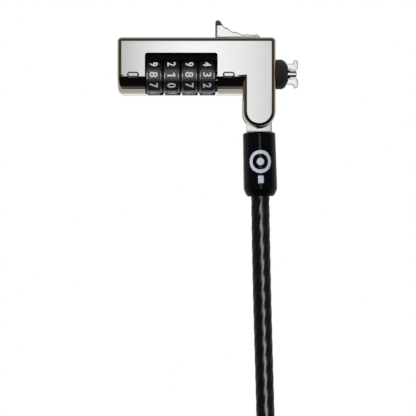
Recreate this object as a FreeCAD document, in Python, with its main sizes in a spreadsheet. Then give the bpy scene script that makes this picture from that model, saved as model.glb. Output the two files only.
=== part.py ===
import FreeCAD, Part
import math
import os
import types

import Sketcher

# A laptop cable lock, lying on its rear cover. Millimetres, +Z up, +X towards the head,
# origin under the middle of the lock without its cable.

DRIVING = {
    # housing
    "body_left": -26.9,
    "body_right": 20.1,
    "body_top": 20.9,
    "body_height": 12.4,
    "rim_radius": 1.25,
    "barrel_radius": 5.3,
    "wall": 1.2,
    "pivot_x": 15.2,
    "pivot_y": -1.0,
    "pivot_z": 6.2,
    "leg_radius": 4.9,
    "leg_top": 12.0,
    "fork_gap": 4.6,
    "fork_top": 3.2,
    "window_left": -18.7,
    "window_right": 2.85,
    "window_top": 16.2,
    "window_low": 2.4,
    "window_corner": 0.8,
    "cavity_bottom": 5.4,
    "cavity_top": 17.3,
    "fit_gap": 0.05,
    # wheels
    "axis_y": 9.7,
    "axis_z": 7.1,
    "first_wheel": -16.1,
    "wheel_pitch": 5.29,
    "wheel_width": 5.05,
    "band_width": 3.5,
    "band_corner": 5.6,
    "band_groove": 0.28,
    "shoulder_radius": 4.95,
    "shoulder_round": 0.7,
    "ring_radius": 3.3,
    "ring_recess": 2.6,
    "flange_thickness": 0.8,
    "notch_width": 1.3,
    "notch_radius": 2.4,
    # sliding group
    "stroke": 3.0,
    "spindle_radius": 1.4,
    "spindle_left": -20.4,
    "spindle_right": 10.0,
    "fin_thickness": 0.8,
    "fin_width": 1.0,
    "fin_radius": 2.3,
    "carriage_left": 6.7,
    "carriage_right": 11.4,
    "carriage_low": 7.4,
    "carriage_base": 1.5,
    "carriage_high": 19.0,
    "carriage_height": 9.1,
    "spring_seat": 8.8,
    "spring_radius": 1.85,
    "spring_wire": 0.35,
    "spring_pitch": 0.9,
    "stem_right": 10.2,
    "stem_low": 16.4,
    "stem_depth": 2.6,
    "slider_gap": 0.1,
    "slider_width": 6.0,
    "slider_left": 2.15,
    "slider_right": 15.5,
    "slider_top": 26.3,
    # head
    "head_y": 10.25,
    "bush_left": 18.4,
    "bush_right": 22.8,
    "bush_radius": 3.7,
    "bush_slot": 3.25,
    "collar_right": 23.9,
    "collar_root": 4.35,
    "collar_front": 4.42,
    "collar_shoulder": 22.1,
    "collar_bulge": 9.0,
    "collar_face": 1.8,
    "collar_dome": 2.7,
    "claw_pin_x": 13.2,
    "claw_pin_offset": 3.6,
    "claw_pin_radius": 0.6,
    "claw_eye": 1.5,
    "claw_tip": 26.9,
    "claw_step": 25.0,
    "claw_neck": 3.08,
    "claw_hook": 4.15,
    "claw_thickness": 2.6,
    "claw_relief": 2.2,
    "blade_tip": 26.55,
    "blade_half": 0.88,
    "blade_root": 1.3,
    "blade_shoulder": 24.65,
    "blade_thickness": 1.6,
    "blade_corner": 0.3,
    "ridge_half": 0.3,
    "ridge_height": 0.35,
    # cable end
    "lean": 1.4,
    "pin_radius": 1.5,
    "link_radius": 3.8,
    "link_thickness": 4.2,
    "link_length": 6.02,
    "shank_radius": 1.6,
    "shank_end": 10.4,
    "sleeve_start": 6.17,
    "sleeve_end": 25.3,
    "sleeve_radius": 4.9,
    "sleeve_swell": 5.05,
    "sleeve_bore": 3.45,
    "cable_radius": 2.75,
    # put-away cable
    "coil_x": -16.2,
    "coil_y": -133.2,
    "coil_base": 1.0,
    "coil_middle": 28.5,
    "eye_height": 21.25,
    "eye_outer": -32.8,
    "eye_inner": -27.3,
    "tie_thickness": 1.0,
    "tie_width": 12.0,
}

doc = FreeCAD.newDocument("cable_lock")
sheet = doc.addObject("Spreadsheet::Sheet", "Sizes")
for row, (alias, number) in enumerate(DRIVING.items(), start=1):
    sheet.set(f"A{row}", alias)
    sheet.set(f"B{row}", str(number))
    sheet.setAlias(f"B{row}", alias)
doc.recompute()

finished = []


# ---------------------------------------------------------------- sizes and shapes


class Size:
    """A number together with the sheet expression that gives it."""

    def __init__(self, value, text):
        self.value = value
        self.text = text

    def __add__(self, other):
        return Size(self.value + sized(other).value, f"({self.text} + {sized(other).text})")

    def __sub__(self, other):
        return Size(self.value - sized(other).value, f"({self.text} - {sized(other).text})")

    def __mul__(self, other):
        return Size(self.value * sized(other).value, f"({self.text} * {sized(other).text})")

    def __truediv__(self, other):
        return Size(self.value / sized(other).value, f"({self.text} / {sized(other).text})")

    def __neg__(self):
        return self * -1


def sized(number):
    """The Size of a plain number, or the Size itself."""
    if isinstance(number, Size):
        return number
    return Size(number, f"({number})")


S = types.SimpleNamespace(**{alias: Size(sheet.get(alias), f"Sizes.{alias}") for alias in DRIVING})


def vector(x, y, z):
    return FreeCAD.Vector(sized(x).value, sized(y).value, sized(z).value)


def bind(thing, prop, size):
    """Ties one property to the sheet."""
    thing.setExpression(prop, sized(size).text)


def put(thing, x, y, z):
    """Ties a placement's corner to the sheet."""
    for axis, size in zip("xyz", (x, y, z)):
        bind(thing, f"Placement.Base.{axis}", size)


def finish(thing, label):
    """Names a sub-part, which also names its file."""
    thing.Label = label
    finished.append(thing)
    return thing


def box(name, low, high):
    """A box between two opposite corners."""
    made = doc.addObject("Part::Box", name)
    for prop, start, end in zip(("Length", "Width", "Height"), low, high):
        bind(made, prop, sized(end) - start)
    put(made, *low)
    return made


TURNS = {
    "x": FreeCAD.Rotation(FreeCAD.Vector(0, 1, 0), 90),
    "y": FreeCAD.Rotation(FreeCAD.Vector(1, 0, 0), -90),
    "z": FreeCAD.Rotation(),
}


def cylinder(name, start, axis, radius, length):
    """A cylinder from its start point along a positive axis."""
    made = doc.addObject("Part::Cylinder", name)
    bind(made, "Radius", radius)
    bind(made, "Height", length)
    made.Placement.Rotation = TURNS[axis]
    put(made, *start)
    return made


def fuse(name, *pieces):
    made = doc.addObject("Part::MultiFuse", name)
    made.Shapes = list(pieces)
    return made


def group(name, *pieces):
    """Separate solids that share one node."""
    made = doc.addObject("Part::Compound", name)
    made.Links = list(pieces)
    return made


def cut(name, base, *tools):
    made = doc.addObject("Part::Cut", name)
    made.Base = base
    made.Tool = tools[0] if len(tools) == 1 else fuse(name + "_tools", *tools)
    return made


def arc_between(start, end, radius):
    """The circle arc from start to end, turning left where the radius is positive."""
    chord = end - start
    height = math.sqrt(radius**2 - (chord.Length / 2) ** 2)
    side = FreeCAD.Vector(-chord.y, chord.x, 0).normalize() * math.copysign(height, radius)
    centre = (start + end) / 2 + side
    first, last = (start, end) if radius > 0 else (end, start)
    angles = [math.atan2(point.y - centre.y, point.x - centre.x) for point in (first, last)]
    circle = Part.Circle(centre, FreeCAD.Vector(0, 0, 1), abs(radius))
    return Part.ArcOfCircle(circle, *angles)


def outline(body, name, corners, lift=0):
    """A closed sketch on the body's XY plane. A corner is x, y, or x, y and the signed radius
    of the arc that leaves it."""
    sketch = body.newObject("Sketcher::SketchObject", name)
    plane = next(item for item in body.Origin.OriginFeatures if item.Role == "XY_Plane")
    sketch.AttachmentSupport = [(plane, "")]
    sketch.MapMode = "FlatFace"
    bind(sketch, "AttachmentOffset.Base.z", lift)
    ends = []
    for index, corner in enumerate(corners):
        start = vector(corner[0], corner[1], 0)
        following = corners[(index + 1) % len(corners)]
        end = vector(following[0], following[1], 0)
        if len(corner) == 3:
            radius = sized(corner[2])
            edge = sketch.addGeometry(arc_between(start, end, radius.value))
            ends.append((edge, 1, 2) if radius.value > 0 else (edge, 2, 1))
        else:
            edge = sketch.addGeometry(Part.LineSegment(start, end))
            ends.append((edge, 1, 2))
    for index, corner in enumerate(corners):
        edge, start, end = ends[index]
        following, following_start, _ = ends[(index + 1) % len(ends)]
        sketch.addConstraint(Sketcher.Constraint("Coincident", edge, end, following, following_start))
        for kind, size in zip(("DistanceX", "DistanceY"), corner[:2]):
            place = sketch.addConstraint(
                Sketcher.Constraint(kind, -1, 1, edge, start, sized(size).value)
            )
            bind(sketch, f"Constraints[{place}]", size)
        if len(corner) == 3:
            radius = sized(corner[2])
            size = radius if radius.value > 0 else -radius
            place = sketch.addConstraint(Sketcher.Constraint("Radius", edge, size.value))
            bind(sketch, f"Constraints[{place}]", size)
    return sketch


def pad(name, corners, low, high):
    """A body made by padding an outline from one height to another."""
    body = doc.addObject("PartDesign::Body", name)
    sketch = outline(body, name + "_outline", corners, low)
    feature = body.newObject("PartDesign::Pad", name + "_pad")
    feature.Profile = sketch
    bind(feature, "Length", sized(high) - low)
    doc.recompute()
    return body


def revolve(name, corners):
    """A body turned about its own X axis from an outline of places along it and radii."""
    body = doc.addObject("PartDesign::Body", name)
    sketch = outline(body, name + "_outline", corners)
    feature = body.newObject("PartDesign::Revolution", name + "_turn")
    feature.Profile = sketch
    feature.ReferenceAxis = (sketch, ["H_Axis"])
    feature.Angle = 360
    doc.recompute()
    return body


def round_edges(body, name, radius, wanted):
    """Rounds the body's edges that pass a test."""
    base = body.Tip
    names = [f"Edge{i}" for i, edge in enumerate(base.Shape.Edges, start=1) if wanted(edge)]
    feature = body.newObject("PartDesign::Fillet", name)
    feature.Base = (base, names)
    bind(feature, "Radius", radius)
    doc.recompute()


def lies_at(edge, axis, size):
    """Whether the whole edge keeps one coordinate."""
    box_of_edge = edge.BoundBox
    low, high = {
        "x": (box_of_edge.XMin, box_of_edge.XMax),
        "y": (box_of_edge.YMin, box_of_edge.YMax),
        "z": (box_of_edge.ZMin, box_of_edge.ZMax),
    }[axis]
    return abs(low - size.value) < 1e-3 and abs(high - size.value) < 1e-3


# ---------------------------------------------------------------- housing

BARREL_EDGE = S.axis_y - S.barrel_radius
LEG_LEFT = S.pivot_x - S.leg_radius
LEG_RIGHT = S.pivot_x + S.leg_radius
COVER_INSET = 0.9
SCREW_PLACES = [(-23.4, 17.2), (-23.4, 6.9), (16.6, 18.0)]
SCREW_RADIUS = 0.8
SCREW_HEAD = 1.5
SCREW_HEAD_DEPTH = 0.7
SCREW_LENGTH = 4.5
INDEX_PLACES = {"left": -22.2, "right": 6.15}
CHANGE_SCREW_RADIUS = 1.7
CHANGE_BORE_RADIUS = 1.75
CHANGE_SCREW_LENGTH = 2.5
CHANGE_SLOT = (0.7, 2.6, 0.5)
SCREW_SLOT = (2.4, 0.36, 0.35)
INDEX_LENGTH = 3.6
INDEX_HEIGHT = 1.7
INDEX_DEPTH = 0.4
INDEX_RISE = 0.45
PIN_INSET = 0.2
ROOM = 0.2
BEARING_WALL = 0.75
BEYOND = 3


def is_block_rim(edge):
    """The front face's outline, the left end and the top right corner."""
    front = lies_at(edge, "z", S.body_height) and not lies_at(edge, "y", S.axis_y)
    left_end = lies_at(edge, "x", S.body_left) and not lies_at(edge, "z", sized(0))
    corner = lies_at(edge, "x", S.body_right) and lies_at(edge, "y", S.body_top)
    return front or left_end or corner


def housing_block():
    """The plate over the wheels, its long lower edge rounded into a barrel."""
    corners = [
        (S.body_left, BARREL_EDGE),
        (S.body_right, BARREL_EDGE),
        (S.body_right, S.body_top),
        (S.body_left, S.body_top),
    ]
    body = pad("housing_block", corners, 0, S.body_height)
    round_edges(
        body,
        "barrel_edge",
        S.barrel_radius,
        lambda edge: lies_at(edge, "y", BARREL_EDGE) and lies_at(edge, "z", S.body_height),
    )
    round_edges(body, "block_rim", S.rim_radius, is_block_rim)
    return body


def housing_leg():
    """The leg that forks round the cable link."""
    corners = [
        (LEG_LEFT, S.leg_top),
        (LEG_LEFT, S.pivot_y, S.leg_radius),
        (S.pivot_x, S.pivot_y - S.leg_radius, S.leg_radius),
        (LEG_RIGHT, S.pivot_y),
        (LEG_RIGHT, S.leg_top),
    ]
    body = pad("housing_leg", corners, 0, S.body_height)
    round_edges(
        body,
        "leg_rim",
        S.rim_radius,
        lambda edge: lies_at(edge, "z", S.body_height) and not lies_at(edge, "y", S.leg_top),
    )
    return body


def window_cutter():
    """The opening over the wheels, which runs out through the barrel's edge."""
    corners = [
        (S.window_left, BARREL_EDGE - BEYOND),
        (S.window_right, BARREL_EDGE - BEYOND),
        (S.window_right, S.window_top - S.window_corner, S.window_corner),
        (S.window_right - S.window_corner, S.window_top),
        (S.window_left + S.window_corner, S.window_top, S.window_corner),
        (S.window_left, S.window_top - S.window_corner),
    ]
    return pad("window", corners, S.window_low, S.body_height + BEYOND)


def wheel_cavity():
    return box(
        "wheel_cavity",
        (S.window_left, S.cavity_bottom, S.wall),
        (S.window_right, S.cavity_top, S.body_height - S.wall),
    )


def carriage_cavity():
    return box(
        "carriage_cavity",
        (S.window_right + BEARING_WALL, S.carriage_low - ROOM, S.wall),
        (S.carriage_right + ROOM, S.carriage_high + ROOM, S.carriage_height + ROOM),
    )


def claw_cavity():
    reach = S.claw_pin_offset + S.claw_eye + ROOM
    return box(
        "claw_cavity",
        (S.carriage_right + ROOM, S.head_y - reach, S.wall),
        (S.bush_left, S.head_y + reach, S.axis_z + S.claw_thickness / 2 + ROOM),
    )


def cover_recess(name, gap):
    return box(
        name,
        (S.body_left + COVER_INSET - gap, BARREL_EDGE + COVER_INSET - gap, sized(0)),
        (S.body_right - COVER_INSET + gap, S.body_top - COVER_INSET + gap, S.wall),
    )


def spindle_bearings():
    """A round bearing for the spindle at both ends, open towards the cover."""
    radius = S.spindle_radius + S.fit_gap
    start = S.spindle_left - S.stroke - ROOM
    right = S.window_right + BEARING_WALL
    bore = cylinder("spindle_bore", (start, S.axis_y, S.axis_z), "x", radius, right - start)
    way_in = box(
        "spindle_way_in",
        (start, S.axis_y - radius, S.wall),
        (right, S.axis_y + radius, S.axis_z),
    )
    return [bore, way_in]


def slider_slot():
    depth = S.stem_depth / 2 + S.slider_gap
    return box(
        "slider_slot",
        (S.carriage_left - S.stroke - S.slider_gap, S.carriage_high, S.axis_z - depth),
        (S.stem_right + S.slider_gap, S.body_top + BEYOND, S.axis_z + depth),
    )


def fork_slot():
    return box(
        "fork_slot",
        (LEG_LEFT - BEYOND, S.pivot_y - S.leg_radius - BEYOND, S.pivot_z - S.fork_gap / 2),
        (LEG_RIGHT + BEYOND, S.fork_top, S.pivot_z + S.fork_gap / 2),
    )


def pivot_pin():
    start = (S.pivot_x, S.pivot_y, sized(PIN_INSET))
    return cylinder("pivot_pin", start, "z", S.pin_radius, S.body_height - S.wall - PIN_INSET)


def pivot_bore():
    start = (S.pivot_x, S.pivot_y, 0)
    return cylinder("pivot_bore", start, "z", S.pin_radius, S.body_height - S.wall)


def claw_pin(name, side):
    start = (S.claw_pin_x, S.head_y + S.claw_pin_offset * side, S.wall)
    return cylinder(name, start, "z", S.claw_pin_radius, S.body_height - S.wall * 2.5)


def nose_bore():
    start = (S.bush_left - S.fit_gap, S.head_y, S.axis_z)
    return cylinder("nose_bore", start, "x", S.bush_radius, BEYOND)


def change_screw_cylinder(name, radius, length):
    start = (S.body_left, S.axis_y, S.axis_z)
    return cylinder(name, start, "x", radius, length)


def screw(name, x, y):
    """A countersunk screw, its head flush with the cover."""
    head = doc.addObject("Part::Cone", name + "_head")
    bind(head, "Radius1", SCREW_HEAD)
    bind(head, "Radius2", SCREW_RADIUS)
    bind(head, "Height", SCREW_HEAD_DEPTH)
    put(head, x, y, 0)
    shank = cylinder(name + "_shank", (x, y, 0), "z", SCREW_RADIUS, SCREW_LENGTH)
    return fuse(name, head, shank)


def screw_slot(name, x, y):
    length, width, depth = SCREW_SLOT
    low = (x - length / 2, y - width / 2, 0)
    return box(name, low, (x + length / 2, y + width / 2, depth))


def index_mark(name, x):
    """A round-edged pill on the code line, set into the housing's face."""
    radius = INDEX_HEIGHT / 2
    reach = INDEX_LENGTH / 2 - radius
    low = S.body_height - INDEX_DEPTH
    corners = [
        (sized(x) - reach, S.axis_y - radius),
        (sized(x) + reach, S.axis_y - radius, radius),
        (sized(x) + reach + radius, S.axis_y, radius),
        (sized(x) + reach, S.axis_y + radius),
        (sized(x) - reach, S.axis_y + radius, radius),
        (sized(x) - reach - radius, S.axis_y, radius),
    ]
    high = S.body_height + INDEX_RISE
    body = pad(name, corners, low, high)
    round_edges(body, name + "_round", INDEX_RISE, lambda edge: lies_at(edge, "z", high))
    return body


def make_housing():
    screws = [screw(f"screw_{i}", x, y) for i, (x, y) in enumerate(SCREW_PLACES, start=1)]
    slots = [screw_slot(f"screw_slot_{i}", x, y) for i, (x, y) in enumerate(SCREW_PLACES, start=1)]
    marks = {side: index_mark(f"index_{side}", x) for side, x in INDEX_PLACES.items()}
    pins = [claw_pin("upper_claw_pin", 1), claw_pin("lower_claw_pin", -1)]
    pin = pivot_pin()
    whole = fuse("housing_whole", housing_block(), housing_leg())
    whole.Refine = True
    housing = cut(
        "housing_cut",
        whole,
        window_cutter(),
        wheel_cavity(),
        carriage_cavity(),
        claw_cavity(),
        cover_recess("cover_recess", S.fit_gap),
        *spindle_bearings(),
        slider_slot(),
        fork_slot(),
        pivot_bore(),
        nose_bore(),
        change_screw_cylinder("change_screw_bore", CHANGE_BORE_RADIUS, CHANGE_SCREW_LENGTH),
        *screws,
        *marks.values(),
        *pins,
    )
    finish(housing, "front_housing")
    finish(cut("cover_cut", cover_recess("cover_plate", sized(0)), *screws), "rear_cover")
    finish(cut("screws_cut", group("screws_whole", *screws), *slots), "cover_screws")
    finish(group("claw_pin_pair", *pins), "claw_pins")
    finish(pin, "pivot_pin")
    for side, mark in marks.items():
        finish(mark, f"index_mark_{side}")


SHROUD_FROM_AXIS = 3.4
SHROUD_CLEARANCE = 0.35
DETENT_THICKNESS = 0.2
DETENT_END_GAP = 0.3
DETENT_STRIP = (4.6, 6.8)
FINGER_REACH = (-1.5, 4.8)
FINGER_HALF = 1.2


def make_shroud():
    """The black bar that closes the gap between the wheels and the window's edge."""
    bar = box(
        "shroud_bar",
        (S.window_left + S.fit_gap, S.axis_y + SHROUD_FROM_AXIS, S.axis_z),
        (S.window_right - S.fit_gap, S.cavity_top, S.body_height - S.wall),
    )
    start = (S.window_left - 1, S.axis_y, S.axis_z)
    length = S.window_right - S.window_left + 2
    room = cylinder("shroud_room", start, "x", S.band_corner + SHROUD_CLEARANCE, length)
    finish(cut("shroud_cut", bar, room), "dial_shroud")


def make_detent_spring():
    """A leaf with one finger under each wheel."""
    low = S.wall
    high = S.wall + DETENT_THICKNESS
    near, far = DETENT_STRIP
    strip = box(
        "detent_strip",
        (S.window_left + DETENT_END_GAP, S.axis_y + near, low),
        (S.window_right - DETENT_END_GAP, S.axis_y + far, high),
    )
    tip, root = FINGER_REACH
    fingers = []
    for index in range(4):
        centre = S.first_wheel + S.wheel_pitch * index
        fingers.append(
            box(
                f"detent_finger_{index + 1}",
                (centre - FINGER_HALF, S.axis_y + tip, low),
                (centre + FINGER_HALF, S.axis_y + root, high),
            )
        )
    finish(fuse("detent_leaf", strip, *fingers), "detent_spring")


def make_change_screw():
    """The slotted screw that frees the code rings for a new code."""
    body = change_screw_cylinder("change_screw_body", CHANGE_SCREW_RADIUS, CHANGE_SCREW_LENGTH)
    depth, length, width = CHANGE_SLOT
    slot = box(
        "change_screw_slot",
        (S.body_left - 1, S.axis_y - length / 2, S.axis_z - width / 2),
        (S.body_left + depth, S.axis_y + length / 2, S.axis_z + width / 2),
    )
    finish(cut("change_screw_cut", body, slot), "code_change_screw")


# ---------------------------------------------------------------- wheels

FLATS = 10
FLAT_TURN = 360 / FLATS


def wheel_band(name, centre):
    """Ten flats, one of them facing straight up."""
    band = doc.addObject("Part::Prism", name)
    band.Polygon = FLATS
    bind(band, "Circumradius", S.band_corner)
    bind(band, "Height", S.band_width)
    half_turn = FreeCAD.Rotation(FreeCAD.Vector(1, 0, 0), FLAT_TURN / 2)
    band.Placement.Rotation = half_turn.multiply(TURNS["x"])
    put(band, centre - S.band_width / 2, S.axis_y, S.axis_z)
    return band


def wheel_grooves(name, centre):
    """A groove between each flat and the next."""
    grooves = []
    for index in range(FLATS):
        angle = math.radians(FLAT_TURN * (index + 0.5))
        across = S.axis_y + S.band_corner * math.sin(angle)
        up = S.axis_z + S.band_corner * math.cos(angle)
        start = (centre - S.band_width / 2 - 0.1, across, up)
        groove = cylinder(f"{name}_{index}", start, "x", S.band_groove, S.band_width + 0.2)
        grooves.append(groove)
    return grooves


def wheel_shoulders(name, centre):
    """The round body that carries the band, with soft rims beside it."""
    half = S.wheel_width / 2
    soft = S.shoulder_round
    corners = [
        (-half, 0),
        (half, 0),
        (half, S.shoulder_radius - soft, soft),
        (half - soft, S.shoulder_radius),
        (soft - half, S.shoulder_radius, soft),
        (-half, S.shoulder_radius - soft),
    ]
    body = revolve(name, corners)
    put(body, centre, S.axis_y, S.axis_z)
    return body


def make_wheel(number):
    """A number wheel and the code ring pressed into it."""
    centre = S.first_wheel + S.wheel_pitch * (number - 1)
    start = (centre - S.wheel_width / 2, S.axis_y, S.axis_z)
    beyond = (centre - S.wheel_width / 2 - 0.1, S.axis_y, S.axis_z)
    name = f"wheel_{number}"
    shoulders = wheel_shoulders(name + "_shoulders", centre)
    whole = fuse(name + "_whole", wheel_band(name + "_band", centre), shoulders)
    bore = cylinder(name + "_bore", beyond, "x", S.ring_radius, S.wheel_width + 0.2)
    grooves = wheel_grooves(name + "_groove", centre)
    finish(cut(name + "_cut", whole, bore, *grooves), f"number_wheel_{number}")

    name = f"ring_{number}"
    blank = cylinder(name + "_blank", start, "x", S.ring_radius, S.wheel_width)
    depth = (S.wheel_width - S.flange_thickness) / 2
    far_start = (centre + S.flange_thickness / 2, S.axis_y, S.axis_z)
    near = cylinder(name + "_near", beyond, "x", S.ring_recess, depth + 0.1)
    far = cylinder(name + "_far", far_start, "x", S.ring_recess, depth + 0.1)
    neck = cylinder(name + "_neck", beyond, "x", S.spindle_radius + S.fit_gap, S.wheel_width + 0.2)
    notch = box(
        name + "_notch",
        (centre - 1, S.axis_y - S.notch_width / 2, S.axis_z),
        (centre + 1, S.axis_y + S.notch_width / 2, S.axis_z + S.notch_radius),
    )
    finish(cut(name + "_cut", blank, near, far, neck, notch), f"code_ring_{number}")


# ---------------------------------------------------------------- sliding group


def make_spindle():
    """The shaft through the wheels, with a fin in each code ring."""
    start = (S.spindle_left, S.axis_y, S.axis_z)
    shaft = cylinder("shaft", start, "x", S.spindle_radius, S.spindle_right - S.spindle_left)
    fins = []
    for index in range(4):
        middle = S.first_wheel + S.wheel_pitch * index + S.stroke / 2
        fins.append(
            box(
                f"fin_{index + 1}",
                (middle - S.fin_thickness / 2, S.axis_y - S.fin_width / 2, S.axis_z),
                (middle + S.fin_thickness / 2, S.axis_y + S.fin_width / 2, S.axis_z + S.fin_radius),
            )
        )
    finish(fuse("shaft_and_fins", shaft, *fins), "spindle")


SLIDER_PIN_PLACE = (8.4, 17.7)
SLIDER_PIN_RADIUS = 0.5
BLADE_PIN_X = 10.75
BLADE_PIN_RADIUS = 0.4
SPRING_ROOM = 0.4


def cross_pin(name, x, y, radius):
    return cylinder(name, (x, y, S.carriage_base), "z", radius, S.carriage_height - S.carriage_base)


def make_carriage():
    """The block that joins the thumb slider, the spindle and the blade."""
    slider_pin = cross_pin("slider_cross_pin", *SLIDER_PIN_PLACE, SLIDER_PIN_RADIUS)
    blade_pin = cross_pin("blade_cross_pin", BLADE_PIN_X, S.head_y, BLADE_PIN_RADIUS)
    block = box(
        "carriage_block",
        (S.carriage_left, S.carriage_low, S.carriage_base),
        (S.carriage_right, S.carriage_high, S.carriage_height),
    )
    notch = box(
        "stem_notch",
        (S.carriage_left - 1, S.stem_low, S.axis_z - S.stem_depth / 2),
        (S.stem_right, S.carriage_high + 1, S.axis_z + S.stem_depth / 2),
    )
    shaft_start = (S.carriage_left, S.axis_y, S.axis_z)
    shaft_bore = cylinder(
        "shaft_bore", shaft_start, "x", S.spindle_radius, S.spindle_right - S.carriage_left
    )
    spring_bore = cylinder(
        "spring_bore",
        shaft_start,
        "x",
        S.spring_radius + SPRING_ROOM,
        S.spring_seat - S.carriage_left,
    )
    tail_slot = box(
        "tail_slot",
        (S.spindle_right, S.head_y - S.blade_root, S.axis_z - S.blade_thickness / 2),
        (S.carriage_right + 1, S.head_y + S.blade_root, S.axis_z + S.blade_thickness / 2),
    )
    tools = [notch, shaft_bore, spring_bore, tail_slot, slider_pin, blade_pin]
    finish(cut("carriage_cut", block, *tools), "slider_carriage")
    finish(slider_pin, "slider_pin")
    finish(blade_pin, "blade_pin")
    return slider_pin, blade_pin


CAP_LENGTH = 1.5
CAP_TILT = -33
SLIDER_TOE = 1.2
# each grip step's distance from the low end, its height, and the radius of the hollow behind it
GRIP_STEPS = [(1.2, 1.0, None), (4.3, 1.0, 10.4), (7.3, 1.75, 6.5), (9.9, 3.05, 6.5)]
GRIP_EDGE = 0.3
GRIP_DROP = 0.29
# the high end's corners, from its edge and down from its top
SLIDER_CREST = [(1.5, 0.2), (1.1, 0), (0.4, 0), (0, 0.4)]


def cap_cutter():
    """Slopes the front of the tab's high end."""
    made = doc.addObject("Part::Box", "cap_cutter")
    for prop in ("Length", "Width", "Height"):
        bind(made, prop, S.slider_width)
    made.Placement.Rotation = FreeCAD.Rotation(FreeCAD.Vector(1, 0, 0), CAP_TILT)
    put(made, S.slider_left - 1, S.slider_top - CAP_LENGTH, S.axis_z + S.slider_width / 2)
    return made


def make_thumb_slider(slider_pin):
    """The tab on the housing's edge: a high end, a hollow ramp with grip steps, and a stem."""
    foot = S.body_top + S.slider_gap
    corners = [(S.slider_left, foot), (S.slider_right, foot, SLIDER_TOE)]
    for back, height, hollow in GRIP_STEPS:
        corners.append((S.slider_right - back, foot + height))
        fallen = (S.slider_right - back - GRIP_EDGE, foot + height - GRIP_DROP)
        corners.append((*fallen, -hollow) if hollow else fallen)
    corners += [(S.slider_left + ahead, S.slider_top - under) for ahead, under in SLIDER_CREST]
    half = S.slider_width / 2
    tab = pad("slider_tab", corners, S.axis_z - half, S.axis_z + half)
    stem = box(
        "slider_stem",
        (S.carriage_left, S.stem_low, S.axis_z - S.stem_depth / 2),
        (S.stem_right, foot + 0.5, S.axis_z + S.stem_depth / 2),
    )
    whole = fuse("slider_whole", tab, stem)
    finish(cut("slider_cut", whole, slider_pin, cap_cutter()), "thumb_slider")


TIP_SLOPE = 0.35
TIP_TILT = 45
TO_SIDE = 1


def blade_slope(name, side, top):
    """Cuts one side of the blade's front down from the ridge."""
    reach = S.blade_root + TO_SIDE
    fall = S.ridge_height * (reach - S.ridge_half) / (S.blade_root - S.ridge_half)
    corners = [
        (-S.ridge_height, S.ridge_half * side),
        (-S.ridge_height, reach * side),
        (fall - S.ridge_height, reach * side),
    ]
    wedge = pad(name, corners, 0, S.blade_tip - S.bush_left + TO_SIDE)
    wedge.Placement.Rotation = TURNS["x"]
    put(wedge, S.bush_left, S.head_y, top)
    return wedge


def blade_tip_slope(crest):
    """Slopes the front of the blade's end."""
    made = doc.addObject("Part::Box", "blade_tip_slope")
    for prop in ("Length", "Width", "Height"):
        bind(made, prop, S.blade_root * 2 + TO_SIDE)
    made.Placement.Rotation = FreeCAD.Rotation(FreeCAD.Vector(0, 1, 0), TIP_TILT)
    put(made, S.blade_tip - TIP_SLOPE, S.head_y - S.blade_root - TO_SIDE / 2, crest)
    return made


def make_blade(blade_pin):
    """The flat bar that holds the claws apart, with a ridge along its front."""
    low = S.head_y - S.blade_half
    high = S.head_y + S.blade_half
    corner = S.blade_corner
    corners = [
        (S.spindle_right, S.head_y - S.blade_root),
        (S.blade_shoulder, S.head_y - S.blade_root),
        (S.blade_shoulder, low),
        (S.blade_tip - corner, low, corner),
        (S.blade_tip, low + corner),
        (S.blade_tip, high - corner, corner),
        (S.blade_tip - corner, high),
        (S.blade_shoulder, high),
        (S.blade_shoulder, S.head_y + S.blade_root),
        (S.spindle_right, S.head_y + S.blade_root),
    ]
    top = S.axis_z + S.blade_thickness / 2
    crest = top + S.ridge_height
    bar = pad("blade_bar", corners, S.axis_z - S.blade_thickness / 2, crest)
    over_tail = box(
        "over_tail",
        (S.spindle_right - 1, S.head_y - S.blade_root - TO_SIDE, top),
        (S.bush_left, S.head_y + S.blade_root + TO_SIDE, crest + TO_SIDE),
    )
    slopes = [blade_slope("upper_slope", 1, top), blade_slope("lower_slope", -1, top)]
    finish(cut("blade_cut", bar, over_tail, *slopes, blade_tip_slope(crest), blade_pin), "locking_blade")


def make_return_spring():
    """The coil spring between the housing's inner wall and the carriage."""
    start = S.window_right.value + BEARING_WALL + S.spring_wire.value / 2
    length = S.spring_seat.value - S.spring_wire.value / 2 - start
    helix = Part.makeHelix(S.spring_pitch.value, length, S.spring_radius.value)
    circle = Part.Circle(
        vector(S.spring_radius, 0, 0), FreeCAD.Vector(0, 1, 0), S.spring_wire.value / 2
    )
    profile = Part.Wire([circle.toShape()])
    coil = Part.Wire(helix.Edges).makePipeShell([profile], True, True)
    spring = doc.addObject("Part::Feature", "spring_coil")
    spring.Shape = coil
    spring.Placement = FreeCAD.Placement(vector(start, S.axis_y, S.axis_z), TURNS["x"])
    finish(spring, "return_spring")


# ---------------------------------------------------------------- head


# a claw's plan: distances from the head's axis, and how far its corners lie back from the tip
NECK_INNER = 1.5
HOOK_INNER = 1.14
HOOK_NOSE = (0.5, 1.7)
HOOK_CORNER = (0.3, 0.45)
HOOK_BACK = (1.1, 1.6)
RELIEF_BACK = 0.1
ARM_SHOULDER = (1.6, 0.9)
ARM_BEND = 0.6


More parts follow.
